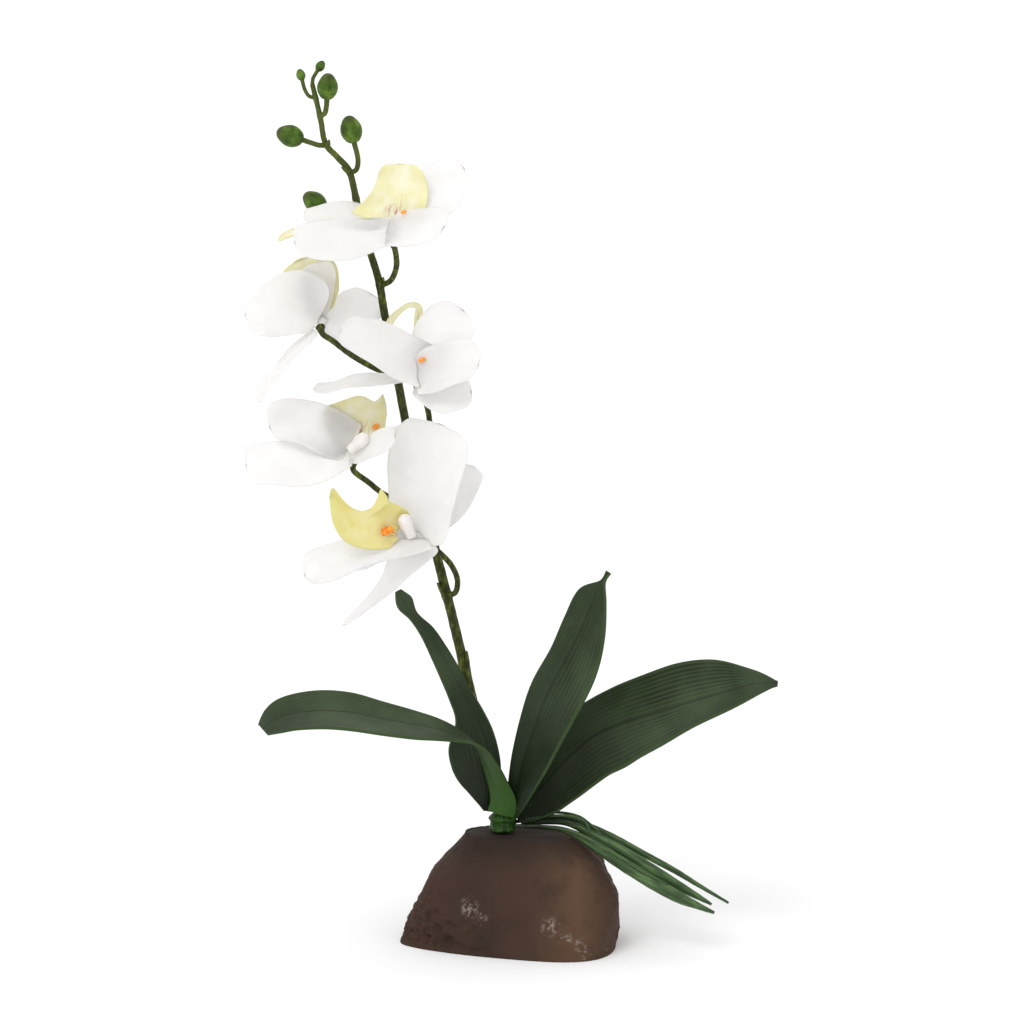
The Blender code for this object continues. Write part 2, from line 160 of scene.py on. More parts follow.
def layBlade(shape, blade, start, cells):
    # a leaf, petal or lip: a grid laid along its spine in millimetres, with one half width for both sides or
    # a right and a left one, and the way its upper face looks at the foot and onwards
    shape.loops.layers.uv.verify()
    made = bmesh.ops.create_grid(shape, x_segments=cells[0], y_segments=cells[1], size=1, calc_uvs=True)
    spine = inMetres(blade["spine"], start)
    faces = [Vector(face).normalized() for face in blade.get("faces") or [blade["face"]] * 2]
    fold, cup = blade.get("fold", 0), blade.get("cup", 0)
    ripple, waves, phase = blade.get("ripple", 0), blade.get("waves", 3), blade.get("phase", 0)
    horns = blade.get("horns", (0, 0))
    for vert in made["verts"]:
        across, way = vert.co.x, (vert.co.y + 1) / 2
        share = (1 - math.cos(math.pi * way)) / 2 if blade.get("roundTip", True) else way
        ahead = (along(spine, min(share + 0.03, 1)) - along(spine, max(share - 0.03, 0))).normalized()
        face = along(faces, share)
        face = (face - ahead * face.dot(ahead)).normalized()
        half = max(along(blade.get("half") or blade["right" if across > 0 else "left"], way), 0) * mm
        crease = math.sqrt(across**2 + 0.004) - 0.06  # a fold that is rounded at the midrib
        lift = half * (fold * crease + cup * across**2)
        edge = abs(across) ** 3
        lift += ripple * mm * edge * math.sin(way * waves * math.tau + phase + (1.3 if across > 0 else 0))
        lift += ripple * 0.5 * mm * noise.noise(Vector((across * 1.5 + phase, way * 4, phase)))
        blunt = 1 - 9 * max(0, abs(across) - 0.8) ** 2  # a horn ends in a rounded lobe
        reach = (horns[0] if across > 0 else horns[1]) * mm * abs(across) ** 2.2 * way**3 * blunt
        vert.co = along(spine, share) + ahead.cross(face) * (half * across) + face * lift + ahead * reach


def makePetalTissue():
    # thin living petal: soft white, dull satin, with fine veins and a green tint at the foot
    finish, node = newFinish("petalTissue", Roughness=0.6, IOR=1.38, Subsurface_Weight=0.7,
                             Subsurface_Scale=4 * mm)
    way = node("TexCoord").outputs
    split = node("SeparateXYZ", links={0: way["UV"]}).outputs
    # veins run from the foot to the edge, about 2 mm apart at the widest
    stretch = node("Mapping", {"Scale": (20, 2.2, 1)}, {"Vector": way["UV"]})
    veins = node("TexWave", {"bands_direction": "X", "Scale": 0.32, "Distortion": 2.2, "Detail": 2.0,
                             "Detail Scale": 1.4}, {"Vector": stretch})
    cloud = node("TexNoise", {"Scale": 90.0, "Detail": 3.0}, {"Vector": way["Object"]})
    tone = node("ValToRGB", {"stops": [(0.35, "#DFDCDA"), (0.7, "#E6E4E2")]}, {"Fac": cloud})
    line = node("ValToRGB", {"stops": [(0.0, 0.05), (0.3, 0.0)]}, {"Fac": veins.outputs["Fac"]})
    veined = node("Mix", {"data_type": "RGBA", 7: "#C8C5C6"}, {0: line, 6: tone})
    foot = node("ValToRGB", {"stops": [(0.0, 0.5), (0.22, 0.0)]}, {"Fac": split["Y"]})
    tinted = node("Mix", {"data_type": "RGBA", 7: "#DEDDC6"}, {0: foot, 6: veined})
    return giveSurface(finish, tinted, veins.outputs["Fac"], 0.12, 0.15)


def makeLipTissue(name, deep, pale, edgeGlow):
    # waxy lip: yellow-green at the foot and horns, paler to the middle, with red-brown streaks in the throat
    finish, node = newFinish(name, Roughness=0.42, IOR=1.4, Coat_Weight=0.1)
    way = node("TexCoord").outputs
    split = node("SeparateXYZ", links={0: way["UV"]}).outputs
    cloud = node("TexNoise", {"Scale": 160.0, "Detail": 3.0}, {"Vector": way["Object"]})
    base = node("ValToRGB", {"stops": [(0.3, deep), (0.7, pale)]}, {"Fac": cloud})
    rim = node("Math", {"operation": "SUBTRACT", 1: 0.5}, {0: split["X"]})
    rim = node("Math", {"operation": "ABSOLUTE"}, {0: rim})
    rim = node("ValToRGB", {"stops": [(0.25, 0.0), (0.5, 0.7)]}, {"Fac": rim})
    edged = node("Mix", {"data_type": "RGBA", 7: edgeGlow}, {0: rim, 6: base})
    # streaks a millimetre wide that fan out of the throat
    stretch = node("Mapping", {"Scale": (16, 3, 1)}, {"Vector": way["UV"]})
    streaks = node("TexNoise", {"Scale": 1.6, "Detail": 4.0, "Roughness": 0.65}, {"Vector": stretch})
    streaks = node("ValToRGB", {"stops": [(0.52, 0.0), (0.66, 0.9)]}, {"Fac": streaks})
    throat = node("ValToRGB", {"stops": [(0.22, 0.0), (0.3, 1.0), (0.42, 0.6), (0.5, 0.0)]},
                  {"Fac": split["Y"]})
    middle = node("ValToRGB", {"stops": [(0.3, 0.0), (0.42, 1.0), (0.6, 1.0), (0.72, 0.0)]},
                  {"Fac": split["X"]})
    marks = node("Math", {"operation": "MULTIPLY"}, {0: throat, 1: middle})
    marks = node("Math", {"operation": "MULTIPLY"}, {0: marks, 1: streaks})
    marked = node("Mix", {"data_type": "RGBA", 7: "#A8524A"}, {0: marks, 6: edged})
    return giveSurface(finish, marked, streaks, 0.3, 0.2)


def makeCallusTissue():
    # warty callus in the throat: strong orange, darker red in its dips
    finish, node = newFinish("callusTissue", Roughness=0.35, IOR=1.4)
    way = node("TexCoord").outputs
    warts = node("TexNoise", {"Scale": 700.0, "Detail": 2.0}, {"Vector": way["Object"]})
    tone = node("ValToRGB", {"stops": [(0.3, "#D9662B"), (0.5, "#FF9428"), (0.75, "#FFB85A")]},
                {"Fac": warts})
    return giveSurface(finish, tone, warts, 0.5, 0.2)


def makeColumnTissue():
    # smooth column: white with a faint pink flush
    finish, node = newFinish("columnTissue", Roughness=0.45, IOR=1.4, Subsurface_Weight=0.5,
                             Subsurface_Scale=3 * mm)
    way = node("TexCoord").outputs
    cloud = node("TexNoise", {"Scale": 300.0, "Detail": 3.0}, {"Vector": way["Object"]})
    tone = node("ValToRGB", {"stops": [(0.35, "#E2DCD9"), (0.65, "#EAE8E5")]}, {"Fac": cloud})
    return giveSurface(finish, tone, cloud, 0.2, 0.1)


def makeLeafCuticle(name, dark, light, foot, footReach):
    # waxy strap leaf: dark green, parallel veins, grey-green patches that are partly dust bloom and partly
    # painted sheen, a midrib darkened as painted shade, and a foot colour: brighter green, or dark as
    # painted shade near the crown
    finish, node = newFinish(name, Roughness=0.46, IOR=1.42, Specular_IOR_Level=0.3)
    way = node("TexCoord").outputs
    split = node("SeparateXYZ", links={0: way["UV"]}).outputs
    # parallel veins, about 2 mm apart across a 38 mm leaf
    stretch = node("Mapping", {"Scale": (19, 0.8, 1)}, {"Vector": way["UV"]})
    veins = node("TexWave", {"bands_direction": "X", "Scale": 0.3142, "Distortion": 2.6, "Detail": 3.0,
                             "Detail Scale": 1.2}, {"Vector": stretch})
    fibre = node("TexNoise", {"Scale": 3.0, "Detail": 5.0, "Roughness": 0.6}, {"Vector": stretch})
    tone = node("ValToRGB", {"stops": [(0.25, dark), (0.75, light)]}, {"Fac": fibre})
    line = node("ValToRGB", {"stops": [(0.4, 0.0), (1.0, 0.4)]}, {"Fac": veins.outputs["Fac"]})
    veined = node("Mix", {"data_type": "RGBA", 7: "#445636"}, {0: line, 6: tone})
    # grey-green patches a few centimetres across, partly dust bloom and partly painted sheen
    patches = node("TexNoise", {"Scale": 26.0, "Detail": 4.0}, {"Vector": way["Object"]})
    bloomAndSheen = node("ValToRGB", {"stops": [(0.42, 0.0), (0.68, 0.42)]}, {"Fac": patches})
    dustAndSheen = node("Mix", {"data_type": "RGBA", 7: "#556548"}, {0: bloomAndSheen, 6: veined})
    # midrib: a narrow dark line along the crease, painted shade
    rib = node("Math", {"operation": "SUBTRACT", 1: 0.5}, {0: split["X"]})
    rib = node("Math", {"operation": "ABSOLUTE"}, {0: rib})
    crease = node("ValToRGB", {"stops": [(0.0, 0.75), (0.022, 0.0)]}, {"Fac": rib})
    creaseShaded = node("Mix", {"data_type": "RGBA", 7: "#0D140A"}, {0: crease, 6: dustAndSheen})
    # the foot colour: real brighter green on leaf_left, and on the other leaves a dark foot that is painted
    # shade near the crown
    base = node("ValToRGB", {"stops": [(0.0, 1.0), (footReach / 2, 0.65), (footReach, 0.0)]},
                {"Fac": split["Y"]})
    based = node("Mix", {"data_type": "RGBA", 7: foot}, {0: base, 6: creaseShaded})
    edge = node("ValToRGB", {"stops": [(0.47, 0.0), (0.5, 0.5)]}, {"Fac": rib})
    edged = node("Mix", {"data_type": "RGBA", 7: "#3E5A28"}, {0: edge, 6: based})
    relief = node("Math", {"operation": "MULTIPLY_ADD", 1: 0.4}, {0: fibre, 2: veins.outputs["Fac"]})
    rough = node("MapRange", {"To Min": 0.36, "To Max": 0.6}, {"Value": patches})
    return giveSurface(finish, edged, relief, 0.25, 0.25, rough)


def makeStemSkin():
    # woody flower spike: dark olive with lighter green flecks and a fine rough skin
    finish, node = newFinish("stemSkin", Roughness=0.6, IOR=1.42, Specular_IOR_Level=0.3)
    way = node("TexCoord").outputs
    stretch = node("Mapping", {"Scale": (1, 1, 0.45)}, {"Vector": way["Object"]})
    flecks = node("TexNoise", {"Scale": 480.0, "Detail": 4.0, "Roughness": 0.65}, {"Vector": stretch})
    tone = node("ValToRGB", {"stops": [(0.3, "#1E2108"), (0.5, "#363D10"), (0.64, "#606A20"),
                                       (0.8, "#8A9440")]}, {"Fac": flecks})
    broad = node("TexNoise", {"Scale": 60.0, "Detail": 2.0}, {"Vector": way["Object"]})
    shade = node("ValToRGB", {"stops": [(0.35, 0.35), (0.6, 0.0)]}, {"Fac": broad})
    darker = node("Mix", {"data_type": "RGBA", 7: "#2B2A10"}, {0: shade, 6: tone})
    # younger and greener above the first flowers
    split = node("SeparateXYZ", links={0: way["Object"]}).outputs
    rise = node("MapRange", {"From Min": 0.31, "From Max": 0.37, "To Max": 0.55}, {"Value": split["Z"]})
    young = node("Mix", {"data_type": "RGBA", 7: "#56662A"}, {0: rise, 6: darker})
    return giveSurface(finish, young, flecks, 0.6, 0.3)


def makeBudSkin():
    # tight bud: mid green mottled lighter and darker, browner towards its tip
    finish, node = newFinish("budSkin", Roughness=0.5, IOR=1.42, Specular_IOR_Level=0.3)
    way = node("TexCoord").outputs
    split = node("SeparateXYZ", links={0: way["UV"]}).outputs
    mottle = node("TexNoise", {"Scale": 260.0, "Detail": 3.0, "Roughness": 0.5}, {"Vector": way["Object"]})
    tone = node("ValToRGB", {"stops": [(0.3, "#2E4009"), (0.52, "#436014"), (0.8, "#6C8A30")]},
                {"Fac": mottle})
    tip = node("ValToRGB", {"stops": [(0.7, 0.0), (1.0, 0.55)]}, {"Fac": split["Y"]})
    tipped = node("Mix", {"data_type": "RGBA", 7: "#4A3A22"}, {0: tip, 6: tone})
    return giveSurface(finish, tipped, mottle, 0.4, 0.25)


def makeSheathSkin():
    # fresh sheath at the crown: bright green with fibres that run upwards
    finish, node = newFinish("sheathSkin", Roughness=0.5, IOR=1.42, Specular_IOR_Level=0.3)
    way = node("TexCoord").outputs
    stretch = node("Mapping", {"Scale": (1, 1, 0.12)}, {"Vector": way["Object"]})
    fibre = node("TexNoise", {"Scale": 900.0, "Detail": 3.0}, {"Vector": stretch})
    tone = node("ValToRGB", {"stops": [(0.3, "#132608"), (0.55, "#264A10"), (0.75, "#4A7A24")]},
                {"Fac": fibre})
    return giveSurface(finish, tone, fibre, 0.5, 0.3)


def makeRootSkin():
    # aerial root: dull green velamen with pale dry streaks along it
    finish, node = newFinish("rootSkin", Roughness=0.58, IOR=1.4)
    way = node("TexCoord").outputs
    stretch = node("Mapping", {"Scale": (9, 9, 1)}, {"Vector": way["UV"]})
    streaks = node("TexNoise", {"Scale": 1.0, "Detail": 5.0, "Roughness": 0.6}, {"Vector": stretch})
    tone = node("ValToRGB", {"stops": [(0.3, "#21331A"), (0.5, "#3A5230"), (0.62, "#52703F"),
                                       (0.78, "#93A57C")]}, {"Fac": streaks})
    # the first third is dry and dark
    split = node("SeparateXYZ", links={0: way["UV"]}).outputs
    dry = node("ValToRGB", {"stops": [(0.18, 0.8), (0.4, 0.0)]}, {"Fac": split["Y"]})
    aged = node("Mix", {"data_type": "RGBA", 7: "#131B0D"}, {0: dry, 6: tone})
    return giveSurface(finish, aged, streaks, 0.5, 0.3)


def makeFieldStone():
    # fine-grained brown stone: warmer and lighter to the right, darker at the rim, with worn pale chips
    finish, node = newFinish("fieldStone", Roughness=0.85, IOR=1.5, Specular_IOR_Level=0.3)
    way = node("TexCoord").outputs
    split = node("SeparateXYZ", links={0: way["Object"]}).outputs
    side = node("MapRange", {"From Min": -0.045, "From Max": 0.045}, {"Value": split["X"]})
    body = node("ValToRGB", {"stops": [(0.0, "#3E2A20"), (0.35, "#38271D"), (0.6, "#402D22"),
                                       (0.85, "#58402F"), (1.0, "#443022")]}, {"Fac": side})
    # stains some 18 mm across, and grit under a millimetre
    stain = node("TexNoise", {"Scale": 55.0, "Detail": 6.0, "Roughness": 0.6}, {"Vector": way["Object"]})
    stained = node("ValToRGB", {"stops": [(0.3, 0.6), (0.52, 0.0)]}, {"Fac": stain})
    darker = node("Mix", {"data_type": "RGBA", 7: "#2A1E18"}, {0: stained, 6: body})
    rise = node("MapRange", {"From Min": 0.036, "From Max": 0.05}, {"Value": split["Z"]})
    rim = node("ValToRGB", {"stops": [(0.0, 0.0), (1.0, 0.75)]}, {"Fac": rise})
    darker = node("Mix", {"data_type": "RGBA", 7: "#1E160F"}, {0: rim, 6: darker})
    grit = node("TexNoise", {"Scale": 1400.0, "Detail": 3.0}, {"Vector": way["Object"]})
    speck = node("ValToRGB", {"stops": [(0.6, 0.0), (0.75, 0.15)]}, {"Fac": grit})
    chipped = node("Mix", {"data_type": "RGBA", 7: "#66564A"}, {0: speck, 6: darker})
    wear = node("TexNoise", {"Scale": 380.0, "Detail": 6.0, "Roughness": 0.75}, {"Vector": way["Object"]})
    flecks = node("ValToRGB", {"stops": [(0.5, 0.0), (0.58, 1.0)]}, {"Fac": wear})
    for place, size in rock["chips"]:
        spot = node("VectorMath", {"operation": "DISTANCE", 1: Vector(place) * mm}, {0: way["Object"]})
        near = node("MapRange", {"From Min": size * mm, "From Max": 0.0}, {"Value": spot.outputs["Value"]})
        near = node("ValToRGB", {"stops": [(0.1, 0.0), (0.7, 0.8)]}, {"Fac": near})
        worn = node("Math", {"operation": "MULTIPLY"}, {0: near, 1: flecks})
        chipped = node("Mix", {"data_type": "RGBA", 7: "#8C8078"}, {0: worn, 6: chipped})
    fine = node("Math", {"operation": "MULTIPLY_ADD", 1: 0.35}, {0: grit, 2: stain})
    return giveSurface(finish, chipped, fine, 0.5, 0.6)


rock = {
    "width": 99, "depth": 66, "height": 50,
    "left": [-0.5, -0.46, -0.415, -0.375, -0.27, -0.19],
    "right": [0.495, 0.51, 0.505, 0.475, 0.42, 0.31],
    "halfDepth": [0.45, 0.44, 0.42, 0.37, 0.30, 0.22],
    "sides": 220, "levels": 84, "capRings": (0.084, 0.14, 0.21, 0.28), "fullness": 0.75,
    # noise scale, or radians to the metre, and height in millimetres
    "lumps": (60, 1.5), "ragged": (130, 5), "ridges": (900, 0.22), "top": (70, 0.8),
    "ridgeMiddle": (26, -36, 22),
    # worn pale chips: place in millimetres and reach
    "chips": [((-18, -25, 21), 6.5), ((-12, -26, 17), 6), ((19, -36, 15), 6), ((26, -39, 10), 4.5),
              ((32, -39, 7), 5), ((34, -39, 3), 4), ((42, -30, 3), 4)],
}


def rockPoint(turn, level):
    # a point of the rock's side, at an angle round it and a share of its height
    left, right = along(rock["left"], level), along(rock["right"], level)
    swell = 1 + 0.02 * math.sin(5 * turn) * math.sin(9 * level)
    across, back = [math.copysign(abs(way) ** rock["fullness"], way) * swell
                    for way in (math.cos(turn), math.sin(turn))]
    x = (left + right) / 2 + (right - left) / 2 * across
    slant = 0.45 * x * max(-back, 0) * (1 - 0.7 * level)
    y = 0.1 * (level - 1) + along(rock["halfDepth"], level) * back - slant
    sag = 0.08 * level * max(x, 0)
    return Vector((x * rock["width"], y * rock["depth"], (level - sag) * rock["height"])) * mm


def buildRock(finish):
    ridgeMiddle = Vector(rock["ridgeMiddle"]) * mm
    shape = bmesh.new()
    bmesh.ops.create_cone(shape, cap_ends=True, segments=rock["sides"], radius1=1, radius2=1, depth=1)
    upright = [edge for edge in shape.edges if abs(edge.verts[0].co.z - edge.verts[1].co.z) > 0.5]
    bmesh.ops.subdivide_edges(shape, edges=upright, cuts=rock["levels"])
    for cap in [face for face in shape.faces if len(face.verts) > 4]:
        for inward in rock["capRings"]:
            bmesh.ops.inset_region(shape, faces=[cap], thickness=inward, use_even_offset=False)
    for vert in shape.verts:
        turn, level = math.atan2(vert.co.y, vert.co.x), min(max(vert.co.z + 0.5, 0), 1)
        inward = min(math.hypot(vert.co.x, vert.co.y), 1)
        point = rockPoint(turn, level)
        centre = Vector((0, 0, point.z))
        place = centre.lerp(point, inward)
        if level < 0.001:
            place.z = 0
        # lumps, chips along the lower left edge and faint flow ridges on the right of the front
        scale, height = rock["lumps"]
        lumps = noise.fractal(place * scale, 0.75, 2.1, 6) * height
        scale, height = rock["ragged"]
        ragged = abs(noise.fractal(place * scale, 0.7, 2.2, 4)) * height
        ragged *= max(0, 1 - level * 1.5) * max(0, -point.x * 30)
        waves, height = rock["ridges"]
        ridges = math.sin((place - ridgeMiddle).length * waves) * height * min(max(place.x * 60, 0), 1)
        away = Vector((place.x, place.y, 0)).normalized()
        fade = min(1, level * 14) * (1 if inward > 0.99 else 0.5)
        vert.co = place + away * ((lumps + ridges) * fade - ragged * min(1, level * 20)) * mm
        if level > 0.999:
            scale, height = rock["top"]
            vert.co.z += (noise.fractal(place * scale, 1, 2, 4) * height - 0.5) * mm
    bmesh.ops.recalc_face_normals(shape, faces=shape.faces)
    makePiece("rock_stone", shape, finish, ["rock"])
    print("rock built")


crownTop = Vector((-2.5, 1, 58.3)) * mm

crown = {
    "radius": 8, "height": 8,
    "girths": [0.72, 0.76, 0.74, 0.72, 0.74, 0.8, 0.72, 0.5],
    "ribs": 9,
}


def buildCrown(finish):
    foot = crownTop - Vector((0, 0, crown["height"] * mm))
    line = [foot.lerp(crownTop, share) for share in (0, 0.33, 0.66, 1)]

    def girth(share, turn):
        rib = 0.015 * math.sin(crown["ribs"] * turn) + 0.05 * noise.noise(Vector((turn * 1.4, share * 5, 2)))
        return crown["radius"] * mm * (along(crown["girths"], share) + rib)

    shape = bmesh.new()
    sweepTube(shape, line, girth, 96, 30)
    makePiece("crown_sheath", shape, finish, ["crown"])
    print("crown built")


# centre lines in millimetres from the crown's right side, and radii at even steps
roots = {
    "root_front": {
        "line": [(-3, -4, -3), (10, -6, -3), (20, -8, -4), (32, -13, -9), (50, -19, -19.5), (69, -25, -29.5),
                 (80, -28, -34), (87, -30, -36.5)],
        "radii": [0.9, 1.1, 1.4, 2.5, 3.1, 2.9, 1.6, 0.7],
    },
    "root_middle": {
        "line": [(0, 0, -3), (12, 0, -2.2), (22, -2, -2.5), (34, -8.5, -6.8), (52, -14.5, -16),
                 (70, -20.5, -25.8), (81, -23.5, -31.5), (86, -25, -34)],
        "radii": [0.9, 1.1, 1.4, 2.2, 2.7, 2.3, 1.3, 0.6],
    },
    "root_rear": {
        "line": [(-3, 4, -3), (13, 6, -1.8), (25, 4, -2.8), (40, -1, -8), (57, -7, -16), (70, -12, -22),
                 (82, -16, -28.5), (94, -19, -35)],
        "radii": [0.9, 1.1, 1.3, 1.6, 1.6, 1.4, 1.0, 0.6],
    },
}

wires = [
    [(2, -2, -0.5), (14, -3, 1.6), (24, -4, 1.4), (29, -6, -0.6), (31, -9, -3.5)],
    [(2, 3, 0.5), (15, 1, 2.2), (25, -2, 1.6), (31, -4, -1.6), (36, -8, -5.6)],
    [(2, -6, -2.5), (12, -9, -2.0), (24, -12, -3.8), (36, -17, -9), (52, -22, -18), (66, -25, -25)],
]


def buildRoots(finish):
    start = crownTop + Vector(((crown["radius"] + 0.3) * mm, 0, -2.2 * mm))
    for name, root in roots.items():
        line = inMetres(root["line"], start)
        seed = root["line"][1][1]

        def girth(share, turn, root=root, seed=seed):
            grain = 1 + 0.05 * noise.noise(Vector((share * 40, math.sin(turn), math.cos(turn) + seed)))
            groove = 1 - 0.06 * max(math.cos(turn * 3 + seed), 0) ** 3
            return max(along(root["radii"], share), 0.3) * mm * grain * groove

        shape = bmesh.new()
        sweepTube(shape, line, girth, 28, 130, flat=0.8)
        makePiece(name + "_strand", shape, finish, [name])
    for rank, points in enumerate(wires):
        shape = bmesh.new()
        sweepTube(shape, inMetres(points, start), lambda share, turn: (0.75 - 0.35 * share) * mm, 10, 50)
        makePiece(f"root_wire_{rank + 1}", shape, finish)
    print("roots built")


# spines and half widths in millimetres at the same steps
leaves = {
    "leaf_left": {
        "foot": (-1, -6.5, 0.7),
        "spine": [(0, 0, 0), (0.8, -1, 6), (-2, -3, 15), (-5.5, -5.5, 24), (-8.5, -8, 31), (-13.5, -9.5, 36),
                  (-19, -10.5, 39), (-28.5, -12, 42.5), (-40, -13.5, 45), (-53.5, -15.5, 48),
                  (-67.5, -18, 51.5), (-81, -21, 53), (-94, -25, 52.5), (-101, -27.5, 50),
                  (-106, -29, 46.5)],
        "right": [6, 6, 5.5, 6, 6, 6, 6, 7, 8.5, 10, 11.5, 11.5, 10, 7.5, 3.5],
        "left": [6, 6, 5.5, 6, 6, 6.5, 8, 11.5, 14, 16, 18.5, 18, 15.5, 11, 5],
        "faces": [(0.1, 1, 0), (0.9, 0.5, 0.3), (0.2, -0.3, 0.9), (0.1, -0.4, 0.9), (0, -0.5, 0.9)],
        "fold": 0.22, "ripple": 0.6, "waves": 1.5,
    },
    "leaf_back_left": {
        "foot": (-5.8, 0, 0.7),
        "spine": [(0, 0, 0), (1, 0, 6), (1.5, 0, 14), (0.5, 0, 24), (-2.5, 0, 36), (-7, 0, 46.5),
                  (-12.5, 0, 55.5), (-17.5, -1, 65), (-22.5, -1, 74.5), (-28, -2, 84), (-34.5, -3, 91.5),
                  (-39, -4, 98), (-41.5, -4.5, 103.5)],
        "right": [3, 3, 3.4, 4, 4, 3.6, 3.8, 4, 3.6, 3, 2.2, 4.4, 1.5],
        "left": [3, 9.5, 15.5, 18.5, 17.5, 10, 7, 6, 5.5, 4.5, 2.6, 4.2, 1.5],
        "faces": [(0.2, -1, 0.2), (0.1, -1, 0.1), (0.1, -1, 0.1), (0.6, -0.8, 0.2), (0.5, -0.8, 0.3)],
        "fold": 0.16, "ripple": 0.5, "waves": 2,
    },
    "leaf_upright": {
        "foot": (4, -4, 0.7),
        "spine": [(0, 0, 0), (2.5, -1.5, 12), (5.7, -3, 26), (11, -5, 43), (16.8, -6, 58.5), (25, -6, 74),
                  (32, -5, 88), (37.5, -4, 101), (41, -3, 108), (43.8, -2, 112.2)],
        "right": [4, 10, 16, 20, 22.5, 21, 15.5, 8, 1.8, 1.2],
        "left": [3, 4.5, 6, 7.5, 8.5, 8.5, 9.5, 8.5, 1.6, 1.2],
        "faces": [(-0.6, -0.8, 0.2), (-0.7, -1, 0.3)],
        "fold": 0.3, "ripple": 0.6, "waves": 1.5,
    },
    "leaf_right": {
        "foot": (5.5, 3, 0.7),
        "spine": [(0, 0, -3), (4.5, 1, 0.8), (10.5, 2, 7.5), (19, 2, 18), (34, 0, 33), (48.5, -3, 41),
                  (63.5, -8, 47), (79, -13, 53), (94.5, -19, 59), (107.5, -24, 64), (117.5, -27, 65)],
        "right": [5, 9.5, 14.5, 18.5, 22, 23, 19.5, 14.5, 10.5, 6.5, 1],
        "left": [3, 6, 9.5, 14, 15.5, 17.5, 19, 19, 15, 6.5, 1],
        "faces": [(-0.4, -0.85, 0.3), (-0.3, -0.8, 0.6), (-0.2, -0.8, 0.6)],
        "fold": 0.2, "ripple": 0.7, "waves": 1.5,
    },
}

leafWall = 1.2 * mm


def buildLeaves(greenFoot, shadedFoot):
    for rank, (name, leaf) in enumerate(leaves.items()):
        shape = bmesh.new()
        layBlade(shape, {**leaf, "phase": rank * 2.1, "roundTip": False},
                 crownTop + Vector(leaf["foot"]) * mm, (48, 130))
        # leaf_left takes the green foot; the other leaves take the dark foot, which is painted shade near
        # the crown
        makePiece(name + "_blade", shape, shadedFoot if rank else greenFoot, [name], wall=leafWall)
    print("leaves built")


# millimetres, and shares of the way up the spike
spike = {
    "rise": 331, "lean": 84, "footRadius": 2.6, "tipRadius": 1.1,
    # shares of the lean, millimetres back and shares of the rise
    "line": [(0.0, 3.5, 0.0), (0.01, 4, 0.012), (0.10, 8, 0.085), (0.19, 10, 0.175), (0.27, 10, 0.262),
             (0.335, 9, 0.33), (0.405, 7, 0.405), (0.49, 5, 0.50), (0.56, 4, 0.595), (0.63, 3, 0.69),
             (0.66, 3, 0.735), (0.72, 4, 0.785), (0.77, 4, 0.835), (0.81, 3, 0.88), (0.87, 1, 0.90),
             (0.935, -1, 0.92), (0.96, -3, 0.955), (1.0, -4, 1.0)],
    "joints": [0.045, 0.115, 0.19, 0.266, 0.365, 0.407, 0.478, 0.577, 0.718, 0.765, 0.876, 0.944, 0.972],
    "bracts": [0.115, 0.19, 0.266, 0.365, 0.478, 0.577, 0.765, 0.876],
}

spikeFoot = crownTop + Vector((0, 0, 0.9 * mm))
spikeLine = [spikeFoot + Vector((-x * spike["lean"], y, z * spike["rise"])) * mm
             for x, y, z in spike["line"]]


def spikeRadius(share):
    return spike["footRadius"] + (spike["tipRadius"] - spike["footRadius"]) * share


def buildSpike(finish):
    def girth(share, turn):
        swell = sum(math.exp(-((share - joint) / 0.006) ** 2) for joint in spike["joints"])
        grain = 0.06 * noise.noise(Vector((share * 160, math.sin(turn) * 1.5, math.cos(turn) * 1.5)))
        return spikeRadius(share) * mm * (1 + 0.16 * swell + grain)

    shape = bmesh.new()
    sweepTube(shape, spikeLine, girth, 26, 420)
    makePiece("spike_stem", shape, finish, ["flower_spike"])
    shape = bmesh.new()
    for rank, share in enumerate(spike["bracts"]):
        # a small pointed scale that hugs the stem above a joint
        foot, tip = along(spikeLine, share - 0.004), along(spikeLine, share + 0.016)
        out = Vector((1 if rank % 2 else -1, -0.5, 0)).normalized()
        reach = spikeRadius(share)
        spine = [(foot + out * reach * 0.9 * mm) / mm, (foot.lerp(tip, 0.5) + out * (reach + 0.7) * mm) / mm,
                 (tip + out * (reach + 1.1) * mm) / mm]
        scale = {"spine": spine, "half": [2.2, 2.3, 1.6, 0.3], "face": out, "cup": -0.55}
        layBlade(shape, scale, Vector(), (8, 10))
    makePiece("spike_bracts", shape, finish, wall=0.4 * mm)
    print("spike built")


# where each bud's stalk leaves the spike, its way in millimetres from there, and its size as a share
buds = {
    "bud_1": (1.0, [(0.4, 0, 2.4), (1.4, 0, 4.2), (2.3, 0, 5.6)], 0.42),
    "bud_2": (0.972, [(-3, -0.5, 1), (-4.8, -1, 4), (-5.8, -1, 7.8)], 0.42),
    "bud_3": (0.944, [(2.2, -0.5, 1.2), (3, -1, 4.6), (3.2, -1.5, 7.4)], 0.95),
    "bud_4": (0.876, [(-3.5, -1, 0.2), (-7, -2, 1.4), (-10.3, -3, 2.6)], 1.0),
    "bud_5": (0.765, [(3, -1, 1.2), (3.8, -1.5, 6), (2.2, -2, 13.2)], 1.0),
    "bud_6": (0.68, [(-6, 5, 1), (-12.5, 6, 1.5), (-16.5, 6, 4.6)], 0.95),
}

budShape = {"length": 12.4, "radius": 4.9, "stalkRadius": 1.15}


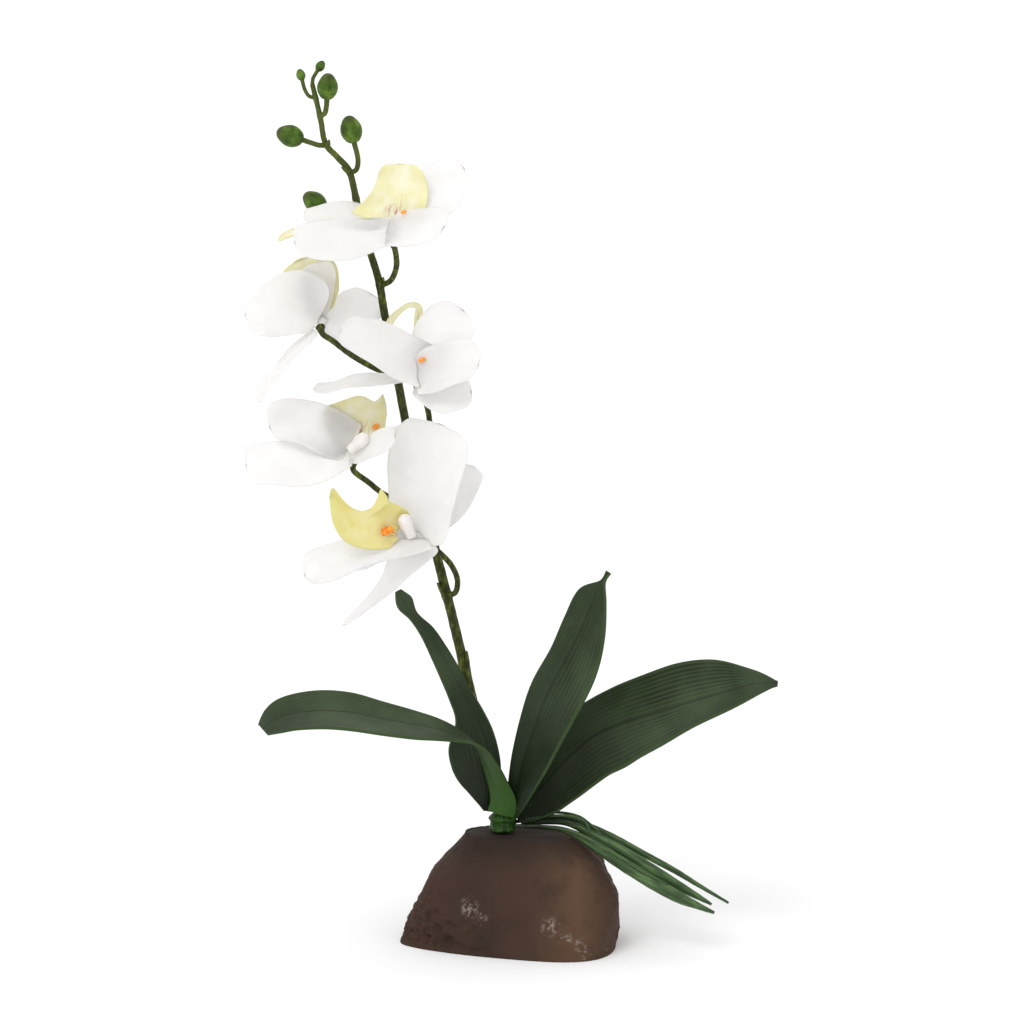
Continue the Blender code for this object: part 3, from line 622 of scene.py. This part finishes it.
def buildBuds(stalkFinish, budFinish):
    for rank, (name, (share, way, size)) in enumerate(buds.items()):
        centre = along(spikeLine, share)
        line = [centre] + inMetres(way, centre)
        stalkRadius = budShape["stalkRadius"] * (0.75 if size < 0.5 else 1)
        ahead = (line[-1] - line[-2]).normalized()
        shape = bmesh.new()
        sweepTube(shape, line + [line[-1] + ahead * 1.2 * size * mm],
                  lambda share, turn: stalkRadius * mm * (1 + 0.35 * share**6), 14, 40)
        makePiece(name + "_stalk", shape, stalkFinish)
        body = [line[-1] + ahead * budShape["length"] * size * part * mm for part in (0, 0.25, 0.5, 0.75, 1)]

        def girth(part, turn, size=size, rank=rank):
            swell = math.sin(math.pi * min(part * 0.985 + 0.012, 1) ** 0.9) ** 0.56
            seam = 1 - 0.05 * max(math.cos(3 * turn + rank), 0) ** 10
            return max(budShape["radius"] * size * swell * seam, 0.12) * mm

        shape = bmesh.new()
        sweepTube(shape, body, girth, 40, 48)
        makePiece(name + "_body", shape, budFinish, [name])
    print("buds built")


# each flower's heart in millimetres, and each blade's spine and half widths from there
flowers = {
    "flower_1": {
        "heart": (-50.7, -12.9, 325.4), "onSpike": 0.577, "axis": (0.1, 0.1, 1),
        "stalk": [(5, -4, 3), (7.7, -10, 10), (7.2, -15, 18)],
        "tepals": {
            "petal_left": {
                "spine": [(-3, 3, 3), (-15, 6, 5), (-26, 8, 6.5), (-35, 9, 6.5), (-40, 9, 6)],
                "right": [2, 7, 10, 11, 10.5, 9, 6, 3.5, 0], "left": [2, 6, 9, 10, 10, 9, 7, 4, 0],
                "face": (0, -0.45, 0.89), "cup": 0.08, "ripple": 0.8},
            "petal_right": {
                "spine": [(2, 3, 2.5), (9.5, 6, 12), (18.5, 9, 19), (26, 12, 24.5), (31, 13, 27.5)],
                "right": [5, 12, 17, 17, 15, 12, 9, 6, 0], "left": [2, 6, 9, 10.5, 11, 10.5, 9, 6, 0],
                "face": (-0.3, -0.85, 0.45), "cup": 0.1, "ripple": 1.0},
            "sepal_front": {
                "spine": [(-3, -5, -0.5), (5, -8, 0.8), (13, -12, 2.5), (19, -15, 3.8), (22.5, -17, 4)],
                "right": [4, 6, 7.5, 8, 8.3, 8.3, 7, 4.5, 0], "left": [3, 8, 11, 12, 12, 11, 9.5, 6.5, 0],
                "face": (0.1, -0.75, 0.66), "cup": 0.05, "ripple": 0.7},
            "sepal_left": {
                "spine": [(4, -4, -0.5), (-9, -5.5, -1), (-22, -8, -2.5), (-34.5, -11, -3.5),
                          (-43, -13, -3.6)],
                "right": [4, 8, 9.5, 10, 10.5, 11.3, 11, 7.5, 0],
                "left": [4, 5, 6.5, 9, 11.5, 10.5, 7, 4, 0],
                "face": (0, -0.75, 0.66), "cup": 0.05, "ripple": 0.7},
            "sepal_back": {
                "spine": [(1, 3.5, 1), (3, 12, 4), (4, 22, 7), (5, 33, 9), (6, 43, 10)],
                "half": [1.5, 5, 8, 10.5, 12, 12, 10, 6, 0],
                "face": (0, -0.2, 1), "cup": 0.06, "ripple": 0.7},
        },
        "lip": {
            "spine": [(0, 2, 3), (1.3, 4, 9.6), (1.8, 6, 17), (1.8, 8, 23.5), (1.8, 9, 29.5)],
            "right": [6, 10, 12, 13, 13.5, 12.5, 10.5, 7, 0], "left": [8, 18, 18, 15, 11.5, 9.5, 8, 5.5, 0],
            "faces": [(0, -1, 0.2), (0, -1, 0.1)], "cup": 0.18, "ripple": 0.9},
        "tendril": [(-25, 6, 2.5), (-34, 8, 1), (-43, 8, -0.5), (-48, 7.5, -2.2), (-51, 7, -4.2)],
        "callus": [(4.5, -3, 9.5), 1.2], "column": [(0.1, 0.6, 0.8), 0.6],
        "lipLook": "pale",
    },
    "flower_2": {
        "heart": (-83.8, -2.5, 281.9), "onSpike": 0.478, "axis": (-0.25, 0.8, 0.5),
        "stalk": [(-8, -6, 2.5), (-19, -9, 9), (-28, -10, 16)],
        "tepals": {
            "petal_left": {
                "spine": [(-2, -1, 1.8), (-9, -3, 5.5), (-18, -6, 7.9), (-26, -9, 8.4), (-33, -11, 6.9)],
                "right": [4.5, 12, 18, 20, 17.5, 12, 7, 3.5, 0],
                "left": [3, 5, 7, 9.5, 11.5, 12, 11, 7.5, 0],
                "faces": [(-0.1, -0.98, 0.15), (-0.1, -0.95, 0.3)], "cup": 0.06, "ripple": 0.9},
            "petal_right": {
                "spine": [(1, 1, -1), (8, 5, 1), (14.5, 9, 4.4), (19.5, 13, 9), (22.5, 15, 13)],
                "right": [3, 6, 8, 9.5, 10, 10, 8.5, 5.5, 0],
                "left": [3, 6, 8.5, 10.5, 11.5, 12, 10.5, 7, 0],
                "face": (-0.4, -0.9, 0.1), "cup": 0.06, "ripple": 0.8},
            "sepal_low": {
                "spine": [(-2, -1, -1.5), (-9.9, -5, -9.6), (-17, -9, -17), (-23.4, -12, -24.7),
                          (-26.5, -14, -31.5)],
                "half": [2.5, 4, 5, 5.5, 5.5, 5, 4, 3, 1.2],
                "face": (-0.6, -0.35, 0.55), "cup": 0.15, "ripple": 0.5},
            "sepal_top": {
                "spine": [(0, 2, 2.7), (0, 3, 10), (0, 4, 17), (-0.5, 4, 23.2), (-1.3, 4, 28.5)],
                "right": [1, 2.5, 3.5, 5, 6.3, 7.2, 7, 5, 0], "left": [1, 5, 8, 10, 10.5, 10, 8, 5, 0],
                "face": (0.2, -0.95, 0.2), "cup": 0.06, "ripple": 0.5},
            "sepal_back": {
                "spine": [(-1, 4, -0.5), (-4, 12, -1), (-6, 22, -2), (-8, 32, -3), (-10, 42, -5)],
                "half": [1.5, 5, 8, 10.5, 12, 12, 10, 6, 0],
                "face": (0.3, 0, 0.95), "cup": 0.06, "ripple": 0.7},
        },
        "lip": {
            "spine": [(-1, 6, 4.3), (-3.6, 9, 11.6), (-4.5, 11, 20.4), (-5, 12, 26), (-5.4, 13, 30)],
            "right": [2, 7, 10, 12, 12.5, 12, 10, 6, 0], "left": [2, 8, 12, 14, 14, 12, 8, 4, 0],
            "face": (0, -1, 0.1), "cup": 0.12, "ripple": 0.8},
        "callus": [(5.2, 9, 18.6), 1.1], "column": [(0.1, 0.7, 0.5), 0.7],
        "lipLook": "pale",
    },
    "flower_3": {
        "heart": (-38.9, -15.5, 260.5), "onSpike": 0.407, "axis": (0.4, -0.35, 0.9),
        "stalk": [(5, -5, 4), (8, -12, 14), (6.5, -18, 27)],
        "tepals": {
            "petal_left": {
                "spine": [(4, -3.5, 1), (-7, -4.5, 7), (-18, -7, 13.5), (-28, -9, 18.5), (-35.5, -10, 21.5)],
                "right": [8, 13, 14.5, 14, 13.5, 12.5, 10.5, 6, 0],
                "left": [5, 6.5, 7.5, 8, 7.5, 6.5, 5, 3, 0],
                "face": (0.1, -0.85, 0.5), "cup": 0.06, "ripple": 0.8},
            "petal_right": {
                "spine": [(0.5, 0, 2.7), (4.9, 2, 11), (9.8, 3, 19), (15.2, 4, 25.6), (19, 5, 30)],
                "right": [5, 9, 11, 12, 12, 11, 9.5, 6, 0], "left": [6, 9, 11, 12, 13, 12.5, 10, 6.5, 0],
                "face": (-0.2, -0.97, 0.15), "cup": 0.06, "ripple": 0.9},
            "sepal_back": {
                "spine": [(-1, 0, -1), (5.5, -2, -3.5), (12, -4, -5.5), (18, -5.5, -5.5),
                          (22.5, -6.5, -4.5)],
                "half": [4, 7, 9, 10.5, 11, 10, 8, 5, 0],
                "face": (0, -0.8, 0.6), "cup": 0.1, "ripple": 0.7},
            "sepal_right": {
                "spine": [(-2, -5, 0.5), (5, -7.5, 3.2), (12.5, -10.5, 6.1), (19.5, -13, 7.7),
                          (25.5, -15, 7.1)],
                "right": [5, 7.5, 8.5, 9, 9, 8.5, 7, 4, 0], "left": [1.5, 7, 11, 13, 13, 12.5, 10.5, 7, 0],
                "face": (0, -0.85, 0.5), "cup": 0.08, "ripple": 0.9},
            "sepal_left": {
                "spine": [(-1.6, 0.4, 0), (-20.5, 4, -1.2), (-31, 7, -3), (-40, 9, -5.2), (-48, 10, -5.9)],
                "half": [1.5, 4, 6, 7, 7.5, 7, 5.5, 3.5, 0],
                "face": (0.1, -0.3, 0.95), "cup": 0.1, "ripple": 0.5},
        },
        "lip": {
            "spine": [(0, 2.8, 2), (-1.5, 11, 14), (-1.2, 12, 24), (-1, 12, 30.5), (-5.4, 12, 31.5),
                      (-10.3, 12, 28.2), (-13.8, 11, 24), (-14.3, 10, 19.5)],
            "half": [1.5, 1.8, 2.0, 1.8, 1.2, 1.0, 1.3, 1.6, 1.2],
            "faces": [(-0.4, -1, 0.2), (-0.4, -1, 0), (-0.2, -1, -0.2)], "cup": 0.25, "roundTip": False},
        "callus": [(0.6, -4.6, 9.2), 1.5], "column": [(0.2, 0.7, 0.6), 0.6],
        "lipLook": "pale",
    },
    "flower_4": {
        "heart": (-68.7, -6.4, 222.6), "onSpike": 0.365, "axis": (0.1, 0.5, 0.85),
        "stalk": [(-7, -6, 2.5), (-17, -12, 7), (-25, -14, 13.5)],
        "tepals": {
            "petal_left": {
                "spine": [(-3, 1, 5), (-12, 1, 10.7), (-21, 0, 15.4), (-30, -1, 17.5), (-38, -2, 15.7)],
                "right": [8, 13, 13.5, 13, 12.5, 12, 10.5, 7, 0],
                "left": [4, 7, 9, 10.5, 10.5, 10, 9.5, 7, 0],
                "face": (0, -0.8, 0.6), "cup": 0.06, "ripple": 0.8},
            "petal_right": {
                "spine": [(1, 5, 3), (3, 13, 5), (5, 22, 6.5), (7, 31, 7.5), (9, 41, 8)],
                "half": [2, 8, 13, 16, 17, 17, 14, 9, 0],
                "face": (-0.2, -0.2, 0.95), "cup": 0.08, "ripple": 0.8},
            "sepal_left": {
                "spine": [(-2, -1, 1.5), (-12, -4, 0.2), (-24, -8, 0), (-36, -11, 0.5), (-48, -13, 0)],
                "right": [4, 7, 9, 10, 10.5, 11, 11, 9, 0], "left": [3, 5, 7.5, 10.5, 12.5, 13, 11.5, 8, 0],
                "face": (0, -0.75, 0.66), "cup": 0.05, "ripple": 0.9},
            "sepal_front": {
                "spine": [(-2, -2, 1.5), (3, -5, 4.5), (8.5, -9, 7.9), (13.9, -12, 11.1), (18.4, -14, 13.3)],
                "right": [1.5, 3, 4.5, 5.3, 5.8, 5.8, 5, 3.5, 0],
                "left": [1.5, 2.5, 3.5, 4.5, 5.3, 5.8, 5.5, 4, 0],
                "face": (-0.2, -0.8, 0.5), "cup": 0.08, "ripple": 0.5},
            "sepal_back": {
                "spine": [(-0.9, 1.5, 0), (-9, 13, -1), (-15, 20, -1.5), (-21, 27, -2), (-27, 34, -2)],
                "half": [1.5, 5, 8, 10.5, 12, 12, 10, 6, 0],
                "face": (0.1, -0.1, 0.95), "cup": 0.06, "ripple": 0.7},
        },
        "lip": {
            "spine": [(0.65, 3, 3.35), (3, 9, 13), (5, 11, 18.5), (6.5, 12, 22), (8, 13, 24.5)],
            "right": [4, 8, 10, 10, 9, 8, 6.5, 4.5, 2], "left": [4, 12, 19, 19, 15, 11, 7, 4, 0],
            "face": (0, -1, 0.1), "cup": 0.15, "horns": (7, 0), "ripple": 0.8},
        "callus": [(9.2, 8, 14), 1.5], "column": [(0.66, -0.2, 0.62), 1.05, (-2, -4.5, 5)],
        "lipLook": "pale",
    },
    "flower_5": {
        "heart": (-39.2, -11.5, 187.8), "onSpike": 0.266, "axis": (-0.55, -0.55, 0.62),
        "stalk": [(4, -5, 2), (5, -10, 9), (2, -15, 17), (-4, -19, 24)],
        "tepals": {
            "petal_top": {
                "spine": [(0, -3.5, -2), (-0.9, -3.8, 11), (2.2, -4.2, 25), (5.8, -5, 39.5), (8.5, -6, 53)],
                "right": [9, 13.5, 16, 17, 17.5, 17.5, 17, 13, 0],
                "left": [5, 8, 12, 16, 19.5, 21, 19.5, 14, 0],
                "face": (-0.5, -0.86, 0), "cup": 0.08, "ripple": 0.9},
            "petal_left": {
                "spine": [(4, -6.5, 0), (-10, -8.5, -1.5), (-24.5, -11, -4.5), (-38.5, -13.5, -9.3),
                          (-51.4, -15, -14)],
                "right": [7, 8, 9, 10.5, 11.5, 12.5, 12, 8.5, 0], "left": [6, 6, 6.5, 7.5, 8, 8.5, 8, 6, 0],
                "face": (0, -0.6, 0.8), "cup": 0.06, "ripple": 0.9},
            "sepal_right": {
                "spine": [(1.8, 1, 0.5), (7.6, 5, 6), (13, 8, 13), (18.3, 10, 21), (23.5, 11, 31)],
                "right": [1.5, 4, 6, 7.5, 8.5, 9, 8.5, 6, 0], "left": [1.5, 5, 7, 9, 10, 10, 9, 6, 0],
                "face": (-0.6, -0.75, 0.1), "cup": 0.05, "ripple": 0.8},
            "sepal_low": {
                "spine": [(1, -5, 2), (-7.5, -5.5, -9.5), (-14, -6.5, -19), (-23.5, -8, -27.8),
                          (-34.4, -9.5, -37.4)],
                "right": [8, 10.5, 9.5, 7, 4.5, 2.8, 1.8, 1.2, 0],
                "left": [7, 9.5, 8.5, 6, 4, 2.8, 1.8, 1.2, 0],
                "face": (-0.2, -1, -0.1), "cup": 0.2, "ripple": 0.4},
            "sepal_back": {
                "spine": [(-0.6, 1.2, -0.6), (-8, 12, -6), (-14, 19, -10), (-20, 26, -15), (-26, 32, -20)],
                "half": [1.5, 5, 8, 10.5, 12, 12, 10, 6, 0],
                "face": (-0.2, 0.1, 0.95), "cup": 0.06, "ripple": 0.7},
        },
        "lip": {
            "spine": [(-7, -4, 2), (-13, -7.5, 4.5), (-19, -10.5, 7.5), (-23.5, -12, 11),
                      (-24.2, -12.5, 15)],
            "right": [5, 8.5, 11, 12, 12, 11.5, 11, 10, 8.5], "left": [3, 4, 6, 8.5, 11.5, 14, 15.5, 16, 15],
            "faces": [(0, -1, 0.2), (0.1, -0.95, 0.3)], "cup": 0.2, "horns": (13, 18), "ripple": 0.6},
        "callus": [(-14.6, -11.5, 5.7), 2.6], "column": [(-0.3, -0.4, 0.8), 1.15, (-4, -5, 2)],
        "lipLook": "deep",
    },
}

tepalWall, lipWall = 0.4 * mm, 0.5 * mm
stalk = {"radius": 1.3, "straightEnd": 5, "flare": 0.7}
callus = {"lobe": 0.68, "warts": 0.28, "apart": 0.38, "step": 0.16}
column = {"length": 10.5, "radius": 2.9, "girths": [0.75, 0.78, 0.82, 0.9, 1.0, 1.05, 1.0, 0.8, 0.25]}


def buildTepals(name, flower, heart, finish):
    for rank, (part, tepal) in enumerate(flower["tepals"].items()):
        shape = bmesh.new()
        layBlade(shape, {**tepal, "phase": rank * 1.7 + flower["heart"][0], "waves": 2.5}, heart, (34, 48))
        makePiece(f"{name}_{part}_blade", shape, finish, [f"{name}_{part}"], wall=tepalWall)


def buildStalk(name, flower, heart, finish):
    centre = along(spikeLine, flower["onSpike"])
    axis = Vector(flower["axis"]).normalized()
    line = [centre] + inMetres(flower["stalk"], centre) + [heart - axis * stalk["straightEnd"] * mm, heart]

    def girth(share, turn):
        flare = max(share - 0.8, 0) * 5
        foot = max(0.08 - share, 0) * 8
        grain = 0.05 * noise.noise(Vector((share * 40, math.sin(turn), math.cos(turn))))
        return stalk["radius"] * mm * (1 + flare**2 * stalk["flare"] + foot + grain)

    shape = bmesh.new()
    sweepTube(shape, line, girth, 20, 90)
    makePiece(name + "_stalk_stem", shape, finish, [name + "_stalk"])


def buildMiddle(name, flower, heart, columnFinish, callusFinish):
    axis, size, start = Vector(flower["column"][0]).normalized(), flower["column"][1], Vector()
    if len(flower["column"]) > 2:
        start = Vector(flower["column"][2]) * mm
    line = [heart + start + axis * (0.3 + column["length"] * size * part) * mm
            for part in (0, 0.25, 0.5, 0.75, 1)]

    def girth(share, turn):
        groove = 1 - 0.12 * max(math.cos(turn), 0) ** 4
        return column["radius"] * size**0.5 * mm * along(column["girths"], share) * groove

    shape = bmesh.new()
    sweepTube(shape, line, girth, 32, 36)
    makePiece(name + "_column_body", shape, columnFinish, [name + "_column"])
    place, size = flower["callus"]
    centre = heart + Vector(place) * mm
    shape = bmesh.new()
    for lobe in (-1, 1):
        made = bmesh.ops.create_icosphere(shape, subdivisions=4, radius=size * callus["lobe"] * mm)
        for vert in made["verts"]:
            wart = 1 + callus["warts"] * noise.noise(vert.co / mm * 0.9 + Vector((lobe * 3, size, 0)))
            aside = Vector((callus["apart"], 0, callus["step"])) * (lobe * size * mm)
            vert.co = centre + vert.co * wart + aside
    makePiece(name + "_callus", shape, callusFinish)


def buildLip(name, flower, heart, finish):
    shape = bmesh.new()
    layBlade(shape, {**flower["lip"], "phase": flower["heart"][1]}, heart, (44, 52))
    makePiece(name + "_lip_blade", shape, finish, [name + "_lip"], wall=lipWall)
    if "tendril" in flower:
        shape = bmesh.new()
        tendril = {"spine": flower["tendril"], "half": [2.2, 2.4, 2.0, 1.4, 0.2],
                   "faces": [(0, -0.9, 0.4), (0, -0.8, 0.6)], "cup": 0.4}
        layBlade(shape, tendril, heart, (10, 30))
        makePiece(name + "_tendril", shape, finish, wall=lipWall)


def buildFlowers(petalFinish, lipFinishes, stemFinish, columnFinish, callusFinish):
    for name, flower in flowers.items():
        heart = Vector(flower["heart"]) * mm
        buildStalk(name, flower, heart, stemFinish)
        buildTepals(name, flower, heart, petalFinish)
        buildLip(name, flower, heart, lipFinishes[flower["lipLook"]])
        buildMiddle(name, flower, heart, columnFinish, callusFinish)
        print(name, "built")


studio = {
    "lens": 140.6, "camera": (0.0016, -1.77265, 0.51047), "aim": (0.0016, 0, 0.1979),
    "worldGlow": 1.0, "keyPower": 0.7, "keyPlace": (-1.2, -1.6, 2.6), "keySpread": 0.5,
}


def aimAt(thing, target):
    thing.rotation_euler = (Vector(target) - thing.location).to_track_quat("-Z", "Y").to_euler()


def buildStudio():
    scene = bpy.context.scene
    shape = bmesh.new()
    bmesh.ops.create_circle(shape, cap_ends=True, radius=40, segments=64)
    mesh = bpy.data.meshes.new("floor")
    shape.to_mesh(mesh)
    shape.free()
    mesh.materials.append(newFinish("palePaper", Roughness=0.9, Base_Color=fromHex("#FAFAFA"),
                                    Specular_IOR_Level=0)[0])
    floor = bpy.data.objects.new("floor", mesh)
    scene.collection.objects.link(floor)
    world = bpy.data.worlds.new("softRoom")
    world.use_nodes = True
    world.node_tree.nodes["Background"].inputs["Color"].default_value = (1, 1, 1, 1)
    world.node_tree.nodes["Background"].inputs["Strength"].default_value = studio["worldGlow"]
    scene.world = world
    lamp = bpy.data.lights.new("softBox", "SUN")
    lamp.angle = studio["keySpread"]
    lamp.energy = studio["keyPower"]
    key = bpy.data.objects.new("softBox", lamp)
    key.location = studio["keyPlace"]
    aimAt(key, (0, 0, 0.2))
    scene.collection.objects.link(key)
    lens = bpy.data.cameras.new("viewer")
    lens.lens = studio["lens"]
    lens.sensor_width = 36
    viewer = bpy.data.objects.new("viewer", lens)
    viewer.location = studio["camera"]
    aimAt(viewer, studio["aim"])
    scene.collection.objects.link(viewer)
    scene.camera = viewer
    scene.view_settings.view_transform = "Standard"
    print("studio built")


petalTissue = makePetalTissue()
lipTissues = {
    "pale": makeLipTissue("lipTissuePale", "#E6E1AC", "#EFECD2", "#E4DFA0"),
    "deep": makeLipTissue("lipTissueDeep", "#DCD07E", "#E4DBA0", "#DCD684"),
}
stemSkin = makeStemSkin()
rootSkin = makeRootSkin()
buildRock(makeFieldStone())
buildCrown(makeSheathSkin())
buildRoots(rootSkin)
# the second cuticle's dark foot is painted shade where the leaves meet the crown
buildLeaves(makeLeafCuticle("leafCuticleGreenFoot", "#121C0D", "#273518", "#2C5012", 0.34),
            makeLeafCuticle("leafCuticlePaintedShadeFoot", "#121C0D", "#273518", "#0F1A09", 0.6))
buildSpike(stemSkin)
buildBuds(stemSkin, makeBudSkin())
buildFlowers(petalTissue, lipTissues, stemSkin, makeColumnTissue(), makeCallusTissue())
buildStudio()
